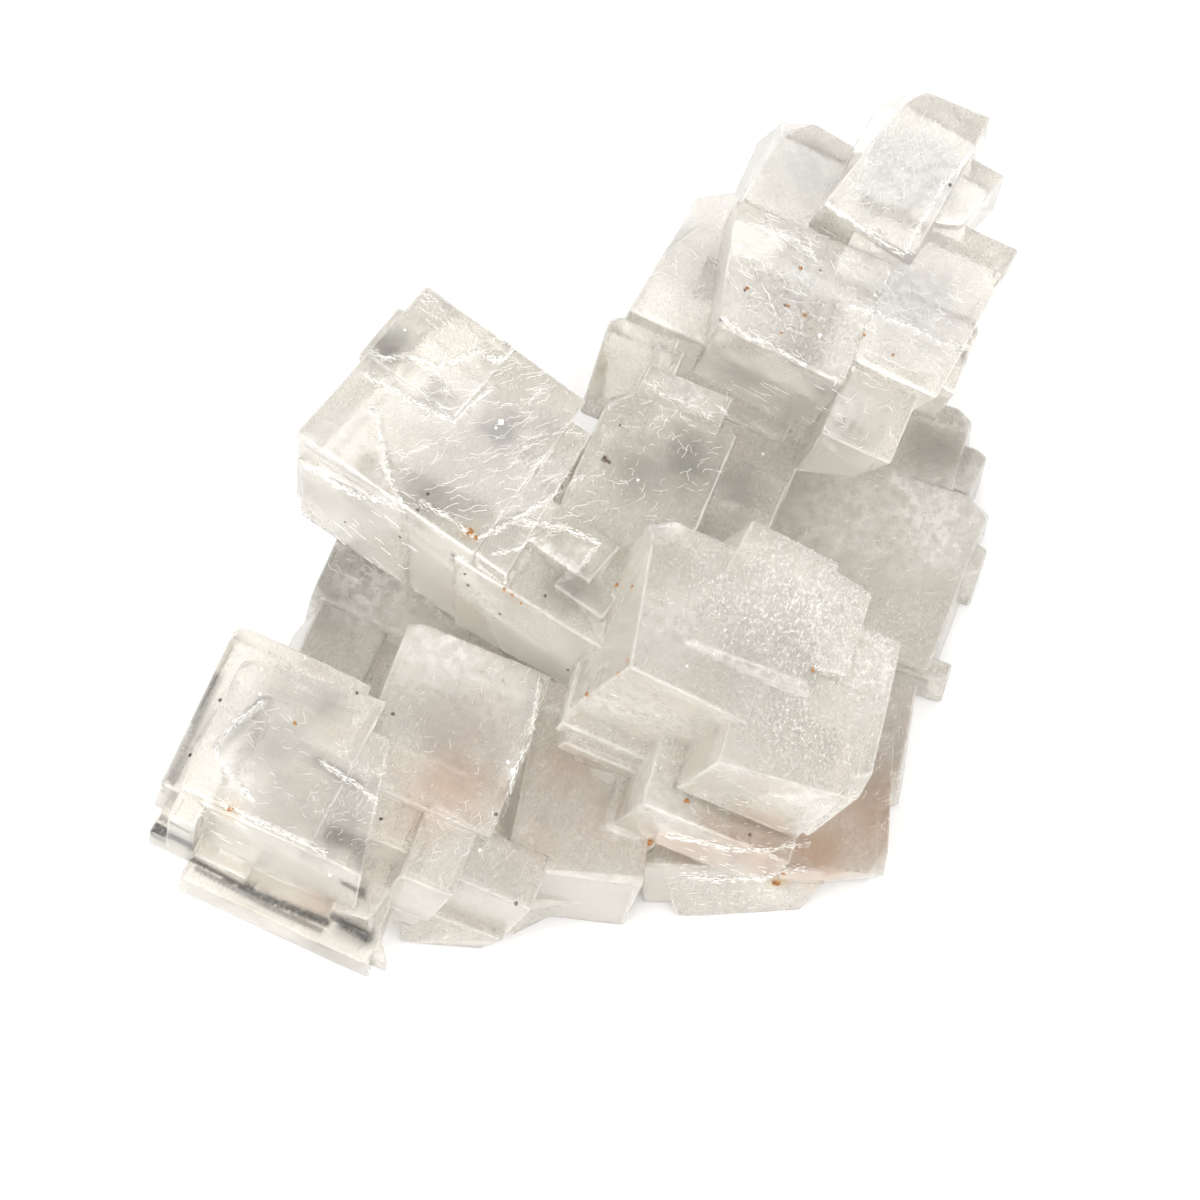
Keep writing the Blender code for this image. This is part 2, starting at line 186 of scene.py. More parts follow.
# Bars along the edges of clear salt, where its far sides mirror the dark or the light of a room:
# (strength, half width, places along it), in mm.
DARK_BARS = (
    (1.00, 0.85, (-44.6, -22.7), (-40.2, -25.0)),
    (1.00, 0.75, (-40.6, -26.0), (-34.5, -29.4)),
    (1.00, 0.50, (-34.5, -29.4), (-27.0, -32.4)),
    (0.80, 0.35, (-40.2, -26.9), (-33.0, -30.7), (-27.6, -33.2)),
    (0.70, 0.35, (-44.2, -21.6), (-40.8, -23.4)),
    (0.90, 0.65, (-25.3, -28.5), (-23.6, -29.5)),
    (1.00, 0.80, (-26.4, -31.8), (-22.9, -34.0)),
    (0.75, 0.65, (-42.9, -17.8), (-38.4, -7.4)),
    (0.50, 0.40, (-44.0, -18.8), (-40.4, -12.0)),
    (0.40, 0.60, (-33.5, -10.0), (-36.4, -13.0), (-38.5, -15.0)),
    (0.40, 0.60, (-28.0, -16.2), (-25.8, -17.6), (-24.0, -18.7)),
    (0.60, 0.90, (-26.6, -23.6), (-24.0, -24.6), (-23.6, -27.0)),
    (0.35, 0.45, (7.6, -18.8), (13.4, -21.8), (19.6, -23.8)),
    (0.35, 0.35, (-29.4, 15.4), (-25.0, 12.6), (-21.8, 10.8)),
    (0.35, 0.40, (35.8, 25.5), (37.4, 22.0)),
)
BRIGHT_BARS = (
    (0.9, 0.65, (-6.0, 5.5), (-2.1, 2.8)),
    (0.7, 0.40, (-6.4, 5.6), (-9.7, 1.4)),
    (0.7, 0.45, (-26.3, 5.6), (-22.0, 3.2), (-17.7, 0.1), (-14.3, -3.0)),
    (0.7, 0.45, (-29.8, 13.6), (-26.4, 11.6), (-24.4, 10.4), (-22.0, 10.1)),
    (0.8, 0.50, (1.9, 28.2), (3.6, 26.4), (4.8, 25.4)),
    (0.8, 0.70, (29.2, 12.6), (33.0, 8.6), (35.8, 4.4)),
    (0.6, 0.50, (8.7, -4.0), (14.5, -6.7), (20.8, -8.5)),
    (0.6, 0.45, (26.3, -3.4), (28.8, -5.4), (28.2, -9.6)),
)
BAR_STEP = 0.5  # mm between the points of a bar
SEED = 4  # of every random draw below
rng = random.Random(SEED)


def walked(places, step, wander):
    """Places a step apart along a line through these ones, each strayed a little to a side."""
    for start, end in zip(places, places[1:]):
        count = max(1, round(math.dist(start, end) / step))
        for i in range(count):
            x, y = (start[k] + (end[k] - start[k]) * i / count for k in range(2))
            yield x + rng.uniform(-wander, wander), y + rng.uniform(-wander, wander)


def rooted(points):
    """A tree that finds the nearest of these points."""
    tree = KDTree(len(points))
    for i, point in enumerate(points):
        tree.insert(point, i)
    tree.balance()
    return tree


def laid(lines, step, wander):
    """The points of these lines on the crystal, and the two leading numbers of each one's line."""
    points = []
    shapes = []
    for first, second, *places in lines:
        for x, y in walked(places, step, wander):
            hit, _ = seen(bare_faces, x, y)
            if hit:
                points.append(hit)
                shapes.append((first, second))
    return points, shapes


LEDGES = UPPER_LEFT_LEDGES + TOWER_LEDGES + FRONT_LEDGES + LOWER_LEDGES
ledge_points, ledge_shapes = laid(LEDGES, LEDGE_STEP, LEDGE_WANDER)
bar_points, _ = laid(DARK_BARS + BRIGHT_BARS, BAR_STEP, 0.0)
ledge_tree = rooted(ledge_points)
fine_tree = rooted(ledge_points + bar_points)

# The mesh is cut finer beside the ledges and the bars.
FINE_REACH = 0.55 * MM
for _ in range(CUT_ROUNDS):
    close = []
    for edge in crystal_bm.edges:
        length = edge.calc_length()
        if length > LEDGE_CUT:
            _, _, distance = fine_tree.find((edge.verts[0].co + edge.verts[1].co) / 2)
            if distance < FINE_REACH + length / 2:
                close.append(edge)
    if not close:
        break
    bmesh.ops.subdivide_edges(crystal_bm, edges=close, cuts=1)
    bmesh.ops.triangulate(crystal_bm, faces=[f for f in crystal_bm.faces if len(f.verts) > 4])

# Relief: low swells of two lengths, and the ledges. The foot stays flat, and no vertex leaves the
# box of the solid.
SWELL = 0.035 * MM
SWELL_LENGTH = 4.0 * MM
BROAD_SWELL = 0.06 * MM
BROAD_SWELL_LENGTH = 7.0 * MM
low, high = (Vector(corner) for corner in cad_box)

crystal_bm.normal_update()
for vert in crystal_bm.verts:
    if vert.co.z < low.z + FOOT_CLEAR:
        continue
    lift = SWELL * noise.noise(vert.co / SWELL_LENGTH)
    lift += BROAD_SWELL * noise.noise(vert.co / BROAD_SWELL_LENGTH)
    _, i, distance = ledge_tree.find(vert.co)
    height, half_width = ledge_shapes[i]
    near = max(0.0, 1.0 - distance / (half_width * MM))
    lift += height * MM * near * near * (3.0 - 2.0 * near)
    moved = vert.co + vert.normal * lift
    vert.co = [min(max(moved[k], low[k]), high[k]) for k in range(3)]
bmesh.ops.triangulate(crystal_bm, faces=crystal_bm.faces[:])
crystal_bm.normal_update()
rough_faces = BVHTree.FromBMesh(crystal_bm)

# Clouds, stains and finishes of the skin, with painted shade and painted light among them: (x, y,
# radius in mm, strength). They go through the salt, so the distance that counts is measured in
# space and not only across the view.
ROSE_CLOUDS = (
    (-14.8, -18.0, 5.5, 0.75), (-13.5, -13.0, 5.0, 0.45), (-17.5, -21.0, 4.0, 0.5),
    (-3.5, -17.5, 5.0, 0.5), (-0.5, -21.5, 5.0, 0.4), (-6.0, -23.5, 4.0, 0.35),
    (9.0, -24.8, 5.0, 0.7), (15.0, -25.8, 6.0, 0.7), (22.0, -25.0, 5.0, 0.8),
    (28.0, -20.0, 7.0, 0.8), (30.0, -13.0, 5.0, 0.3), (-28.5, -29.8, 3.0, 0.45),
    (-21.0, -24.0, 3.0, 0.25), (-17.0, 15.0, 7.0, 0.12), (-8.0, 16.0, 6.0, 0.10),
    (34.0, -6.0, 6.0, 0.15),
)
OLIVE_CLOUDS = (
    (5.0, 17.0, 8.0, 0.55), (10.0, 12.0, 6.0, 0.5), (-2.0, 3.0, 6.0, 0.5), (-16.0, 0.0, 6.0, 0.40),
    (-20.0, 24.0, 7.0, 0.30), (17.0, 21.5, 7.0, 0.55), (10.0, 23.0, 5.0, 0.4),
    (3.0, 23.0, 5.0, 0.35), (-12.0, 26.0, 5.0, 0.2), (16.0, 9.0, 6.0, 0.35), (26.0, 8.0, 9.0, 0.22),
    (-27.0, -2.0, 6.0, 0.25),
)
# Painted shade: dark spots where the clear salt shows shade refracted inside it.
REFRACTED_SHADE_SPOTS = (
    (-9.9, 17.0, 2.4, 0.85), (-21.2, 25.4, 2.6, 0.75), (-16.7, 20.2, 2.0, 0.6),
    (-16.9, 10.4, 3.0, 0.4), (-29.0, 11.0, 3.4, 0.35), (-24.0, 10.5, 3.0, 0.4),
    (-26.0, 1.6, 6.5, 0.45), (4.5, 13.0, 4.0, 0.35), (9.0, 14.5, 4.5, 0.55), (-3.0, 1.2, 2.8, 0.5),
    (-33.0, -15.0, 3.2, 0.45), (-26.0, -23.0, 3.5, 0.4), (-28.0, -10.0, 3.0, 0.25),
    (29.5, 31.5, 3.4, 0.45), (27.0, 34.0, 2.4, 0.35), (14.0, 22.8, 4.0, 0.45),
    (22.5, 21.0, 3.0, 0.4), (20.0, 25.0, 3.0, 0.3), (33.0, 15.0, 4.0, 0.45),
    (24.3, 16.8, 3.0, 0.35), (22.5, 43.5, 3.0, 0.25), (10.0, 34.0, 3.6, 0.25),
    (37.0, 18.0, 3.0, 0.3), (14.0, 11.5, 3.0, 0.3),
)
# Partly grey clouding of the salt and partly painted shade, laid on the faces that the light
# strikes most.
SMOKE_AND_SHADE_CLOUDS = (
    (31.0, 43.0, 8.0, 1.0), (20.0, 43.0, 6.0, 0.85), (20.0, 31.0, 7.0, 0.60),
    (32.0, 30.0, 7.0, 1.0), (9.0, 34.0, 6.0, 0.4), (-13.0, 15.0, 10.0, 0.62),
    (-33.0, -12.0, 7.0, 0.60), (-31.0, -20.0, 6.0, 0.4), (-25.0, -19.0, 5.0, 0.45),
    (-15.0, -12.0, 7.0, 0.5), (-3.0, -20.0, 7.0, 0.4), (12.0, -26.0, 6.0, 0.3),
    (-12.0, -26.0, 6.0, 0.3), (18.0, -3.0, 11.0, 0.35), (28.0, -16.0, 7.0, 0.4),
)
CLEAR_WINDOWS = (
    (-41.0, -12.0, 6.0, 0.9), (-38.0, -6.0, 5.0, 0.6), (-40.0, -23.5, 5.0, 1.0),
    (-34.0, -29.0, 5.0, 1.0), (-26.0, -33.0, 5.0, 0.9), (0.5, 24.0, 3.0, 0.8),
    (-31.0, -18.0, 7.0, 0.45), (36.0, 14.0, 4.0, 0.5), (37.0, 21.0, 3.0, 0.5),
    (1.0, -19.0, 3.0, 0.5),
)
SATIN_FACES = (
    (20.0, -1.0, 8.0, 0.9), (26.0, -6.0, 6.0, 0.8), (13.0, 0.0, 6.0, 0.5), (20.0, -13.0, 6.0, 0.5),
    (30.0, 8.0, 8.0, 0.35), (6.0, -13.0, 7.0, 0.35), (20.0, 30.0, 9.0, 0.4),
    (30.0, 43.0, 6.0, 0.45),
)
OCHRE_STAINS = (
    (-37.0, -21.0, 1.6, 0.7), (-13.0, 6.6, 1.1, 0.8), (-9.0, 0.4, 0.9, 0.7),
    (17.8, -28.2, 1.3, 1.0), (2.7, -6.2, 0.7, 0.6), (1.8, -7.4, 0.6, 0.5), (-1.0, -9.6, 0.8, 0.4),
    (-23.8, 25.8, 0.8, 0.6), (5.0, -24.3, 0.9, 0.6), (21.6, 27.0, 0.8, 0.5), (20.4, 28.6, 0.7, 0.4),
    (-14.0, -0.6, 3.0, 0.25),
)
# Partly milky veils in the salt and partly painted light, which whitens places that lie in shade.
WHITE_VEILS_AND_LIGHT = (
    (20.0, 31.0, 6.0, 0.45), (31.0, 30.0, 6.0, 0.4), (31.0, 43.0, 6.0, 0.35),
    (24.0, 19.0, 5.0, 0.4), (20.0, -1.0, 8.0, 0.35), (26.0, -7.0, 6.0, 0.35),
    (-22.0, 1.0, 6.0, 0.8), (-29.0, 8.0, 5.0, 0.7), (-15.0, -4.0, 6.0, 0.7), (25.0, 8.0, 8.0, 0.6),
    (7.2, 7.6, 1.7, 1.0), (-2.0, 4.5, 2.5, 0.6), (-12.0, 31.0, 5.0, 0.35), (8.5, 20.5, 4.0, 0.6),
    (-36.5, -17.5, 3.0, 0.6), (-22.0, 12.0, 3.0, 0.45), (3.0, -11.0, 8.0, 0.5),
    (33.0, 8.0, 7.0, 0.85), (-17.0, -2.0, 3.0, 0.3), (-12.0, -8.0, 6.0, 0.35),
    (16.0, 34.0, 7.0, 0.4), (31.0, 42.0, 6.0, 0.5), (8.0, -2.0, 5.0, 0.4), (6.0, -20.0, 4.0, 0.4),
    (13.0, -17.0, 4.0, 0.3), (-25.0, 15.0, 5.0, 0.3),
)
CLOUD_EDGE = 1.25  # a cloud ends this many radii out
BAR_EDGE = 1.6  # a bar ends this many half widths out
CURDLING = 0.35  # how far the edge of a cloud wanders in and out, in radii
GRAIN_OF_CLOUD = 1.8 * MM  # size of that curdling


def clouded(clouds, lines=()):
    """How strongly each vertex of the crystal lies in these clouds and bars, from 0 to 1."""
    held = []
    for x, y, radius, strength in clouds:
        centre, _ = seen(bare_faces, x, y)
        if centre:
            held.append((centre, radius * MM, strength))
    points, shapes = laid(lines, BAR_STEP, 0.0)
    bar_tree = rooted(points)
    amounts = []
    for vert in crystal_mesh.vertices:
        amount = 0.0
        for centre, radius, strength in held:
            distance = (vert.co - centre).length / radius
            if distance < CLOUD_EDGE + CURDLING:
                curdled = distance + CURDLING * noise.noise(vert.co / GRAIN_OF_CLOUD)
                amount = max(amount, strength * min(1.0, max(0.0, CLOUD_EDGE - curdled)))
        if points:
            _, i, distance = bar_tree.find(vert.co)
            strength, half_width = shapes[i]
            depth = BAR_EDGE - distance / (half_width * MM)
            amount = max(amount, strength * min(1.0, max(0.0, depth)))
        amounts.append(amount)
    return amounts


# The salt's own two tones, and those of what clouds and stains it. The dark one is painted shade
# seen through the clear salt, the smoke is partly grey clouding and partly painted shade, and the
# shadow paints the mirrored dark along the bars.
BODY = (0.965, 0.93, 0.865)
CLOUDED = (0.90, 0.86, 0.785)
BODY_LENGTH = 5.0 * MM  # from one clearer stretch of salt to the next
BODY_CONTRAST = 1.2
OLIVE = (0.68, 0.66, 0.55)
ROSE = (0.68, 0.41, 0.26)
REFRACTED_SHADE = (0.06, 0.06, 0.06)
SMOKE_AND_SHADE = (0.46, 0.45, 0.44)
SHADOW = (0.04, 0.04, 0.04)
OCHRE = (0.80, 0.60, 0.36)

crystal_mesh = bpy.data.meshes.new("halite_crystal")
crystal_bm.to_mesh(crystal_mesh)
crystal_bm.free()
tones = []
for vert in crystal_mesh.vertices:
    amount = min(1.0, max(0.0, 0.5 + BODY_CONTRAST * noise.noise(vert.co / BODY_LENGTH)))
    tones.append(Vector(BODY).lerp(Vector(CLOUDED), amount))
for tone, amounts in (
    (OLIVE, clouded(OLIVE_CLOUDS)),
    (ROSE, clouded(ROSE_CLOUDS)),
    (REFRACTED_SHADE, clouded(REFRACTED_SHADE_SPOTS)),
    (SMOKE_AND_SHADE, clouded(SMOKE_AND_SHADE_CLOUDS)),
    (SHADOW, clouded((), DARK_BARS)),
    (OCHRE, clouded(OCHRE_STAINS)),
):
    tones = [under.lerp(Vector(tone), amount) for under, amount in zip(tones, amounts)]
tint_and_shade = crystal_mesh.attributes.new("tint_and_shade", "FLOAT_COLOR", "POINT")
tint_and_shade.data.foreach_set("color", [value for tone in tones for value in (*tone, 1.0)])

# The skin holds how satiny, how veiled and how clear each place is. The veil also holds painted
# light in shaded places and the painted reflections of the bright bars.
skin = crystal_mesh.attributes.new("skin", "FLOAT_COLOR", "POINT")
skins = zip(clouded(SATIN_FACES), clouded(WHITE_VEILS_AND_LIGHT, BRIGHT_BARS), clouded(CLEAR_WINDOWS))
skin.data.foreach_set("color", [value for amounts in skins for value in (*amounts, 1.0)])

crystal_mesh.shade_smooth()
crystal_mesh.set_sharp_from_angle(angle=math.radians(SHARP_DEG))
crystal = bpy.data.objects.new("halite_crystal", crystal_mesh)
bpy.context.scene.collection.objects.link(crystal)

WHITE = (0.985, 0.97, 0.94, 1.0)
HALITE_IOR = 1.544
CLEARNESS = 0.74
WINDOW_GAIN = 0.2  # what a clear window adds to the clearness
FROST_HIDES = 0.45  # how much of the clearness full frost takes away
SALT_ROUGHNESS = 0.15
FROST_ROUGHNESS = 0.30  # what full frost adds to the roughness
WINDOW_POLISH = 0.12  # what a clear window takes off it
ABSORBED = (0.90, 0.86, 0.80, 1.0)
ABSORPTION = 1.5  # per metre
NOISE_DETAIL = {"Detail": 2.0, "Roughness": 0.6}
CURDS_PER_MM = 0.9
SATIN_TURN_DEG = -20.0
SATIN_PER_MM = (3.4, 1.9, 2.8)
# (noise at which they start, noise at which they are full, least frost, most frost)
CURD_FROST = (0.32, 0.62, 0.15, 0.75)
WORN_FROST = (0.3, 0.7, 0.12, 0.34)
# The flecks are partly etched frost and partly painted glints, white in the colour where the satin
# would sparkle.
FLECK_EDGE = (0.49, 0.65)  # noise at which a fleck starts, and at which it is full
FLECKS_ANYWHERE = 0.12  # how strong the flecks are on a plain face
FLECKS_ON_SATIN = 0.78  # what full satin adds
PLAIN_DEPTH = 0.025  # mm of relief on a plain face
SATIN_DEPTH = 0.10  # mm that full satin adds
CURD_DEPTH = 0.030  # mm of the curdle

halite = bpy.data.materials.new("clouded halite")
halite.use_nodes = True
halite.cycles.homogeneous_volume = True
salt = halite.node_tree
shader = salt.nodes["Principled BSDF"]
shader.inputs["IOR"].default_value = HALITE_IOR


def grow(tree, kind, inputs, **settings):
    """A node of this kind, with its settings and with each input linked or given its value."""
    made = tree.nodes.new("ShaderNode" + kind)
    for name, value in settings.items():
        setattr(made, name, value)
    for key, value in inputs.items():
        if isinstance(value, bpy.types.NodeSocket):
            tree.links.new(value, made.inputs[key])
        else:
            made.inputs[key].default_value = value
    return made


def tinted(tree, amount, under, over):
    """The colour under, covered by the colour over by this amount."""
    mix = grow(tree, "Mix", {"Factor": amount, 6: under, 7: over}, data_type="RGBA")
    return mix.outputs[2]


def ramped(tree, value, low_in, high_in, low_out=0.0, high_out=1.0):
    """The value, carried from one range to another and held within it."""
    levels = {"Value": value, 1: low_in, 2: high_in, 3: low_out, 4: high_out}
    return grow(tree, "MapRange", levels).outputs["Result"]


def mathed(tree, operation, *numbers):
    """The result of a sum on two or three numbers."""
    return grow(tree, "Math", dict(enumerate(numbers)), operation=operation).outputs[0]


# Object coordinates turned square to the lattice and counted in mm.
place = grow(salt, "TexCoord", {}).outputs["Object"]
square = grow(
    salt,
    "Mapping",
    {
        "Vector": place,
        "Rotation": (math.radians(-TIP_DEG), 0.0, math.radians(LATTICE_TURN_DEG)),
        "Scale": (1 / MM, 1 / MM, 1 / MM),
    },
).outputs["Vector"]
curd_noise = grow(salt, "TexNoise", {"Vector": square, "Scale": CURDS_PER_MM, **NOISE_DETAIL})
curd = curd_noise.outputs["Fac"]
satin_turn = (0.0, 0.0, math.radians(SATIN_TURN_DEG))
satin_grain = grow(
    salt, "Mapping", {"Vector": square, "Rotation": satin_turn, "Scale": SATIN_PER_MM}
).outputs["Vector"]
satin_noise = grow(salt, "TexNoise", {"Vector": satin_grain, "Scale": 1.0, **NOISE_DETAIL})
satin = satin_noise.outputs["Fac"]
tone = grow(salt, "Attribute", {}, attribute_name="tint_and_shade").outputs["Color"]
skin_colour = grow(salt, "Attribute", {}, attribute_name="skin").outputs["Color"]
skin_parts = grow(salt, "SeparateColor", {"Color": skin_colour})
satiny, veil_and_light, clear = (skin_parts.outputs[channel] for channel in ("Red", "Green", "Blue"))
arrises = grow(salt, "Attribute", {}, attribute_name="arris").outputs["Fac"]

# Frost is the etched skin that scatters light, painted white into the colour: flecks of satin,
# which are partly painted glints; curds of cloud, which are partly painted light in shaded places
# and the painted reflections of the bright bars; and worn arrises, which are partly painted
# highlights.
fleck_and_glint_strength = mathed(salt, "MULTIPLY_ADD", satiny, FLECKS_ON_SATIN, FLECKS_ANYWHERE)
flecks_and_glints = mathed(salt, "MULTIPLY", fleck_and_glint_strength, ramped(salt, satin, *FLECK_EDGE))
curds_and_light = mathed(salt, "MULTIPLY", veil_and_light, ramped(salt, curd, *CURD_FROST))
worn_and_highlight = mathed(salt, "MULTIPLY", arrises, ramped(salt, curd, *WORN_FROST))
frost_and_light = mathed(salt, "MAXIMUM", flecks_and_glints, mathed(salt, "MAXIMUM", curds_and_light, worn_and_highlight))

salt.links.new(tinted(salt, frost_and_light, tone, WHITE), shader.inputs["Base Color"])
see_through = mathed(salt, "MULTIPLY_ADD", clear, WINDOW_GAIN, CLEARNESS)
see_through = mathed(salt, "SUBTRACT", see_through, mathed(salt, "MULTIPLY", frost_and_light, FROST_HIDES))
salt.links.new(see_through, shader.inputs["Transmission Weight"])
roughness = mathed(salt, "MULTIPLY_ADD", frost_and_light, FROST_ROUGHNESS, SALT_ROUGHNESS)
roughness = mathed(salt, "SUBTRACT", roughness, mathed(salt, "MULTIPLY", clear, WINDOW_POLISH))
salt.links.new(roughness, shader.inputs["Roughness"])

# Fine relief: a gentle curdle and a satin of flecks. Each is a height in mm, and they add up.
satin_depth = mathed(salt, "MULTIPLY_ADD", satiny, SATIN_DEPTH, PLAIN_DEPTH)
curd_height = mathed(salt, "MULTIPLY", curd, CURD_DEPTH)
height = mathed(salt, "MULTIPLY_ADD", satin, satin_depth, curd_height)
relief = grow(salt, "Bump", {"Height": height, "Strength": 1.0, "Distance": 1.0 * MM})
salt.links.new(relief.outputs["Normal"], shader.inputs["Normal"])
absorption = grow(salt, "VolumeAbsorption", {"Color": ABSORBED, "Density": ABSORPTION})
salt.links.new(absorption.outputs["Volume"], salt.nodes["Material Output"].inputs["Volume"])
crystal_mesh.materials.clear()
crystal_mesh.materials.append(halite)

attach(crystal, "root")
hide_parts("halite_cluster")

# ---------------------------------------------------------------------------------------------
# The etch ridges. Raised hairlines of fresh white salt, left where damp crept over the faces and
# dried. They are part of the crystal, less than a tenth of a mm wide, and follow its growth.
# ---------------------------------------------------------------------------------------------

# (x, y, radius, number, slope in degrees, spread of the slope, length, half width), in mm
RIDGE_FIELDS = (
    (-13.0, 16.5, 8.5, 90, 22.0, 14.0, 2.2, 0.040),
    (-6.0, 12.0, 6.0, 45, 20.0, 14.0, 2.0, 0.040),
    (-20.0, 17.0, 5.0, 30, 15.0, 24.0, 1.8, 0.036),
    (-14.5, 29.0, 4.0, 26, -50.0, 16.0, 1.8, 0.036),
    (-18.0, 22.5, 3.4, 30, -40.0, 24.0, 1.4, 0.040),
    (-9.0, 23.0, 4.0, 30, 35.0, 24.0, 1.6, 0.036),
    (5.0, 15.0, 7.0, 110, 30.0, 45.0, 0.9, 0.034),
    (9.0, 20.5, 4.5, 60, -20.0, 40.0, 1.0, 0.040),
    (20.0, 1.0, 7.0, 380, 30.0, 30.0, 0.3, 0.022),
    (25.5, -4.0, 5.0, 380, 30.0, 30.0, 0.3, 0.026),
    (19.0, -12.0, 6.0, 150, 35.0, 30.0, 0.3, 0.020),
    (9.0, -1.0, 5.5, 90, 40.0, 30.0, 0.3, 0.020),
    (3.0, -12.0, 6.0, 50, 25.0, 30.0, 0.4, 0.022),
    (20.0, 29.5, 8.0, 100, -30.0, 30.0, 1.5, 0.034),
    (17.5, 35.5, 4.5, 50, -35.0, 20.0, 1.8, 0.038),
    (29.0, 42.5, 5.5, 50, 55.0, 24.0, 2.0, 0.034),
    (31.0, 28.5, 6.0, 60, -25.0, 30.0, 1.5, 0.034),
    (25.0, 19.0, 5.0, 40, -30.0, 35.0, 1.3, 0.034),
    (14.0, 22.0, 5.0, 40, -25.0, 20.0, 1.5, 0.034),
    (9.5, 33.0, 4.5, 35, -30.0, 35.0, 1.3, 0.034),
    (-12.0, -12.0, 7.0, 50, 50.0, 45.0, 0.7, 0.026),
    (-14.0, -25.5, 5.0, 50, 45.0, 26.0, 1.0, 0.030),
    (-32.0, -16.0, 7.0, 50, -28.0, 30.0, 0.9, 0.026),
    (-25.0, -21.0, 4.5, 70, 50.0, 30.0, 0.7, 0.028),
    (-38.0, -20.5, 4.0, 30, -28.0, 16.0, 1.2, 0.030),
    (12.0, -25.5, 7.0, 70, -12.0, 16.0, 0.8, 0.026),
    (28.0, -18.0, 5.0, 60, 50.0, 16.0, 0.9, 0.028),
    (31.0, 7.0, 7.0, 60, 30.0, 30.0, 0.8, 0.028),
    (-22.0, 5.5, 6.0, 40, -30.0, 16.0, 1.5, 0.034),
)
# The crest of a ledge is a bundle of hairlines, each this far above or below it, in mm.
CREST_OFFSETS = (0.0, 0.04, -0.04, 0.12, -0.16, 0.35)
CREST_STRAY = (0.6, 1.6)  # an offset is drawn in or out by a factor in this range
CREST_LENGTHS = (0.15, 0.35)  # mm
CREST_HALF_WIDTH = 0.036
CREST_GAPS = 0.35  # share of a crest that is missing, and more of it further off
RIDGE_SIDES = 3
RIDGE_KINK_DEG = 42.0
RIDGE_SPREAD = (0.7, 1.3)  # a sliver's half width, as a factor
RIDGE_TAPER = 0.8
LINK = 0.36  # mm from one kink to the next
LINK_SPREAD = (0.6, 1.4)
LENGTH_SPREAD = (0.4, 1.5)
SEED_TURN = 0.4  # radians
# (x, y, side), in mm
SEED_CUBES = (
    (-9.9, 17.8, 0.50), (-10.4, 17.2, 0.25), (-8.7, -17.1, 0.50), (-9.2, -16.2, 0.30),
    (12.5, -3.0, 0.22), (-12.0, -25.0, 0.28), (22.0, 26.5, 0.30), (27.5, 30.5, 0.25),
    (14.0, 35.5, 0.28), (-34.0, -9.4, 0.26), (-27.0, -27.5, 0.28), (8.7, -6.6, 0.22),
    (16.3, 14.6, 0.28), (3.8, 12.0, 0.24), (-19.5, 27.0, 0.22),
)
LEAST_FACING = 0.35  # a face turned further away than this from the view is left bare
across = broad_face.to_3x3()


def hairline(bm, hit, normal, heading_deg, lengths, half_width):
    """A chain of tapered three-sided slivers, half sunk in the face, that starts at hit."""
    for length in lengths:
        if not hit or hit.z < FOOT_CLEAR or normal.dot(across.col[2]) < LEAST_FACING:
            break
        swing = math.radians(heading_deg + rng.uniform(-RIDGE_KINK_DEG, RIDGE_KINK_DEG))
        ahead = across @ Vector((math.cos(swing), math.sin(swing), 0.0))
        ahead = (ahead - normal * ahead.dot(normal)).normalized()
        upright = Matrix((normal.cross(ahead), normal, ahead)).transposed().to_4x4()
        thick = half_width * rng.uniform(*RIDGE_SPREAD) * MM
        bmesh.ops.create_cone(
            bm,
            cap_ends=True,
            segments=RIDGE_SIDES,
            radius1=thick,
            radius2=thick * RIDGE_TAPER,
            depth=length * MM,
            matrix=Matrix.Translation(hit + ahead * length * MM / 2) @ upright,
        )
        hit, normal, _, _ = rough_faces.find_nearest(hit + ahead * length * MM)


def gathered(bm, patch_bm):
    """Adds the patch to the whole. Patches are built apart, because a small bmesh is quick."""
    patch_mesh = bpy.data.meshes.new("patch")
    patch_bm.to_mesh(patch_mesh)
    patch_bm.free()
    bm.from_mesh(patch_mesh)
    bpy.data.meshes.remove(patch_mesh)


ridges_bm = bmesh.new()
for x0, y0, radius, number, slope, spread, length, half_width in RIDGE_FIELDS:
    patch_bm = bmesh.new()
    for _ in range(number):
        out = radius * math.sqrt(rng.random())
        turn = rng.uniform(0.0, math.tau)
        hit, normal = seen(rough_faces, x0 + out * math.cos(turn), y0 + out * math.sin(turn))
        links = max(1, round(rng.uniform(*LENGTH_SPREAD) * length / LINK))
        lengths = [LINK * rng.uniform(*LINK_SPREAD) for _ in range(links)]
        hairline(patch_bm, hit, normal, slope + rng.gauss(0.0, spread), lengths, half_width)
    gathered(ridges_bm, patch_bm)
for _, _, *places in UPPER_LEFT_LEDGES + TOWER_LEDGES + LOWER_LEDGES:
    patch_bm = bmesh.new()
    for offset in CREST_OFFSETS:
        for start, end in zip(places, places[1:]):
            heading = math.degrees(math.atan2(end[1] - start[1], end[0] - start[0]))
            for x, y in walked((start, end), LEDGE_STEP, LEDGE_WANDER):
                if rng.random() < CREST_GAPS + abs(offset):
                    continue
                hit, normal = seen(rough_faces, x, y + offset * rng.uniform(*CREST_STRAY))
                lengths = [rng.uniform(*CREST_LENGTHS) for _ in range(2)]
                hairline(patch_bm, hit, normal, heading, lengths, CREST_HALF_WIDTH)
    gathered(ridges_bm, patch_bm)
